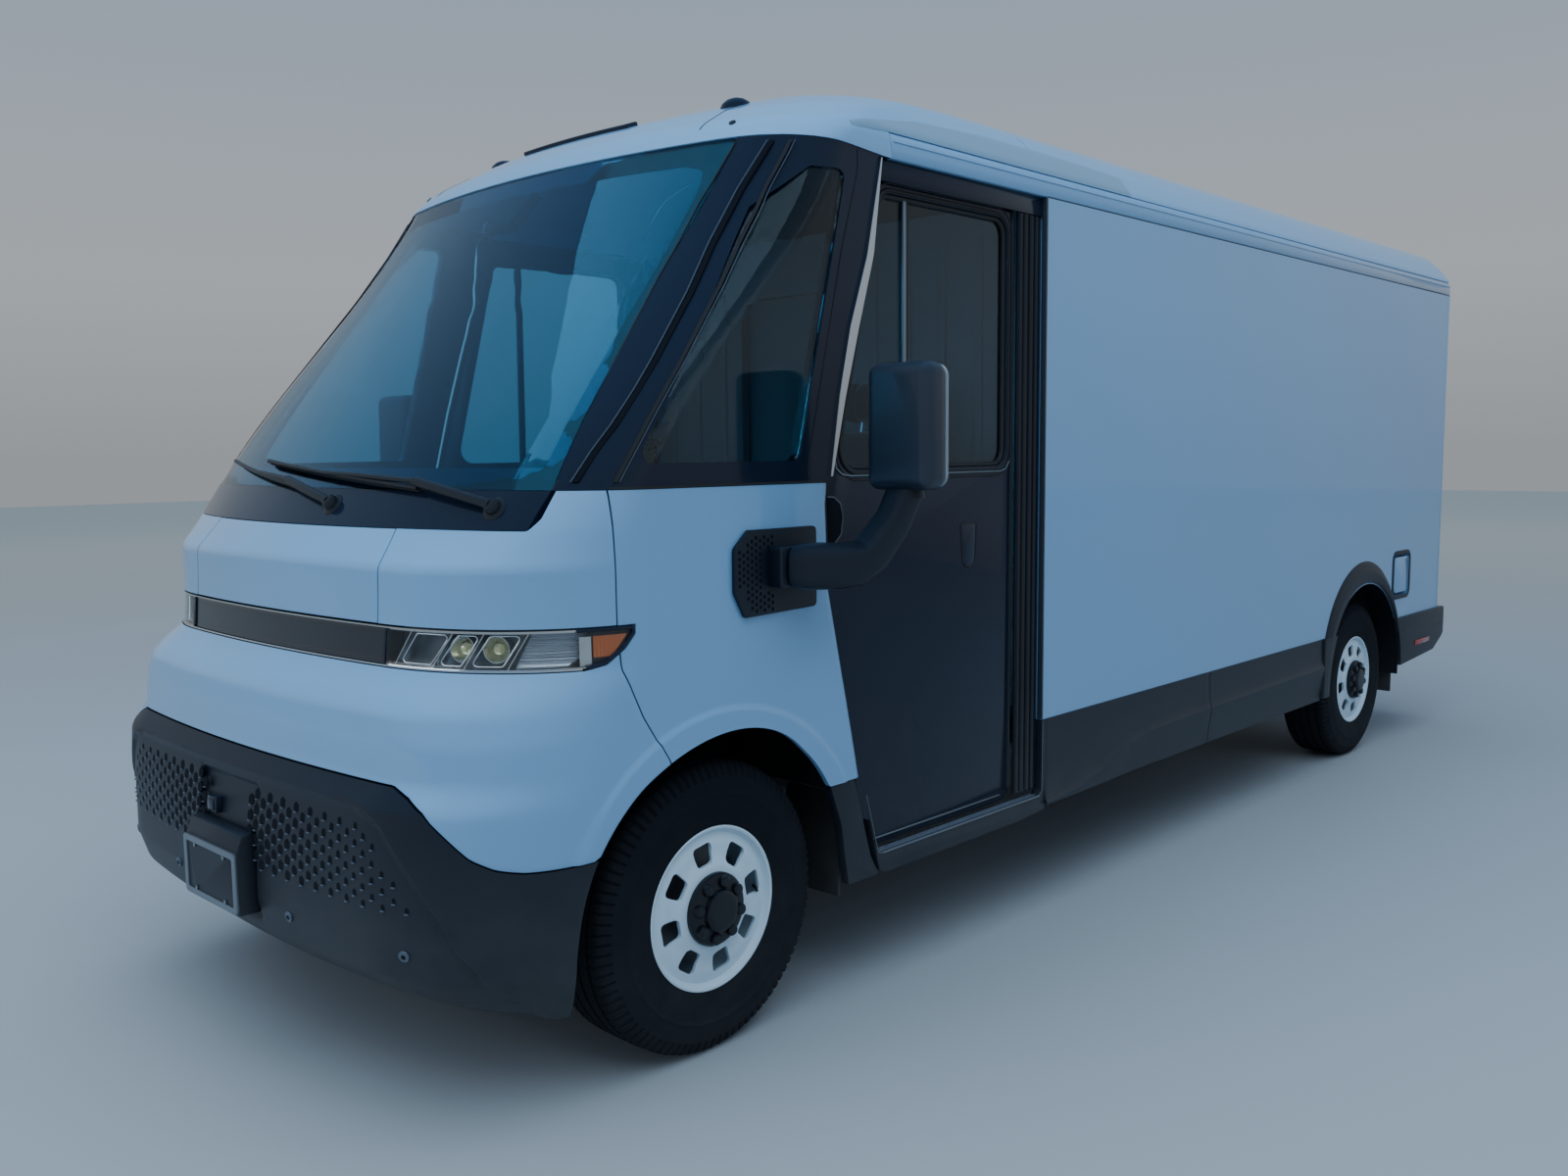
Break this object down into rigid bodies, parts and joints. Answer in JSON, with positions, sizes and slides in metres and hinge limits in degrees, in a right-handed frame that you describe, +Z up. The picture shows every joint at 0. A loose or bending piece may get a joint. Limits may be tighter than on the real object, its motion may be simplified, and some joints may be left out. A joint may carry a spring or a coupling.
{
  "type": "electric delivery van",
  "caption": "Walk-in electric parcel van with sliding cab doors, raked one-piece windscreen, boxy load body, dark lower cladding and single steel wheels that steer and roll.",
  "frame": {"origin": "on the ground under the middle of the van's box", "axes": "+Z up, +Y to the van's back, +X to the van's left side"},
  "size_m": [2.8, 6.87, 2.76],
  "materials": {
    "white_paint": "smooth gloss white paint",
    "black_plastic": "satin grained black plastic",
    "gloss_black": "glossy black",
    "dark_glass": "lightly tinted glass",
    "lamp_clear": "clear lamp lens",
    "lamp_red": "red lamp lens",
    "frame_steel": "satin black chassis paint",
    "grey_floor": "textured grey floor",
    "grey_wall": "light grey lining",
    "white_wheel": "white painted steel",
    "tyre_rubber": "black rubber",
    "seat_fabric": "dark seat fabric",
    "dash_plastic": "dark grained plastic",
    "battery_case": "grey case",
    "blank_plate": "blank dark plate"
  },
  "bodies": {
    "body": {"arch_flares": "black_plastic", "battery_pack": "battery_case", "bulkhead": "grey_wall", "cab_floor": "grey_floor", "cab_frame_left": "gloss_black", "cab_frame_right": "gloss_black", "charge_inlet": "black_plastic", "chassis_frame": "frame_steel", "corner_panels": "white_paint", "cowl_panel": "gloss_black", "dashboard": "dash_plastic", "door_pockets": "black_plastic", "drive_unit": "frame_steel", "driver_seat": "seat_fabric", "fender_left": "white_paint", "fender_right": "white_paint", "front_bumper": "black_plastic", "front_fascia": "white_paint", "front_suspension": "frame_steel", "headlamps": "lamp_clear", "hood": "white_paint", "leaf_springs": "frame_steel", "light_bar": "gloss_black", "load_floor": "grey_floor", "mirrors": "black_plastic", "number_plate": "blank_plate", "quarter_glass": "dark_glass", "rear_axle": "frame_steel", "rear_bumper": "black_plastic", "rear_frame": "grey_wall", "rear_hinges": "black_plastic", "rockers": "black_plastic", "roof_cap": "white_paint", "roof_panel": "white_paint", "roof_rails": "white_paint", "side_wall_left": "white_paint", "side_wall_right": "white_paint", "steering_wheel": "dash_plastic", "tail_lamps": "lamp_red", "wheel_houses": "black_plastic", "windscreen": "dark_glass", "wipers": "black_plastic"},
    "knuckle_left": {"knuckle_left": "frame_steel"},
    "knuckle_right": {"knuckle_right": "frame_steel"},
    "wheel_front_left": {"tyre_front_left": "tyre_rubber", "rim_front_left": "white_wheel"},
    "wheel_front_right": {"tyre_front_right": "tyre_rubber", "rim_front_right": "white_wheel"},
    "wheel_rear_left": {"tyre_rear_left": "tyre_rubber", "rim_rear_left": "white_wheel"},
    "wheel_rear_right": {"tyre_rear_right": "tyre_rubber", "rim_rear_right": "white_wheel"},
    "sliding_door_left": {"side_door_left": "gloss_black", "door_glass_left": "dark_glass"},
    "sliding_door_right": {"side_door_right": "gloss_black", "door_glass_right": "dark_glass"},
    "rear_door_left": {"rear_door_left": "white_paint"},
    "rear_door_right": {"rear_door_right": "white_paint"},
    "bulkhead_door": {"bulkhead_door": "grey_wall"},
    "charge_flap": {"charge_flap": "white_paint"}
  },
  "joints": [
    {"name": "steer_left", "type": "hinge", "parent": "body", "child": "knuckle_left", "pos_m": [0.79, -2.5, 0.402], "axis": [0, 0, 1], "range_deg": [-35, 35]},
    {"name": "steer_right", "type": "hinge", "parent": "body", "child": "knuckle_right", "pos_m": [-0.79, -2.5, 0.402], "axis": [0, 0, 1], "range_deg": [-35, 35]},
    {"name": "wheel_front_left_roll", "type": "hinge", "parent": "knuckle_left", "child": "wheel_front_left", "pos_m": [0.8725, -2.5, 0.402], "axis": [1, 0, 0], "continuous": true},
    {"name": "wheel_rear_left_roll", "type": "hinge", "parent": "body", "child": "wheel_rear_left", "pos_m": [0.8725, 2.16, 0.402], "axis": [1, 0, 0], "continuous": true},
    {"name": "wheel_front_right_roll", "type": "hinge", "parent": "knuckle_right", "child": "wheel_front_right", "pos_m": [-0.8725, -2.5, 0.402], "axis": [1, 0, 0], "continuous": true},
    {"name": "wheel_rear_right_roll", "type": "hinge", "parent": "body", "child": "wheel_rear_right", "pos_m": [-0.8725, 2.16, 0.402], "axis": [1, 0, 0], "continuous": true},
    {"name": "sliding_door_left_slide", "type": "slide", "parent": "body", "child": "sliding_door_left", "axis": [0, 1, 0], "range_m": [0, 0.85]},
    {"name": "rear_door_left_hinge", "type": "hinge", "parent": "body", "child": "rear_door_left", "pos_m": [1, 3.357, 1.6], "axis": [0, 0, 1], "range_deg": [-180, 0]},
    {"name": "sliding_door_right_slide", "type": "slide", "parent": "body", "child": "sliding_door_right", "axis": [0, 1, 0], "range_m": [0, 0.85]},
    {"name": "rear_door_right_hinge", "type": "hinge", "parent": "body", "child": "rear_door_right", "pos_m": [-1, 3.357, 1.6], "axis": [0, 0, 1], "range_deg": [0, 180]},
    {"name": "bulkhead_door_slide", "type": "slide", "parent": "body", "child": "bulkhead_door", "axis": [1, 0, 0], "range_m": [0, 0.65]},
    {"name": "charge_flap_hinge", "type": "hinge", "parent": "body", "child": "charge_flap", "pos_m": [1.04, 2.554, 0.923], "axis": [0, 0, 1], "range_deg": [-100, 0]}
  ],
  "couplings": [
    {"joint": "steer_right", "follows": "steer_left", "ratio": 1}
  ]
}
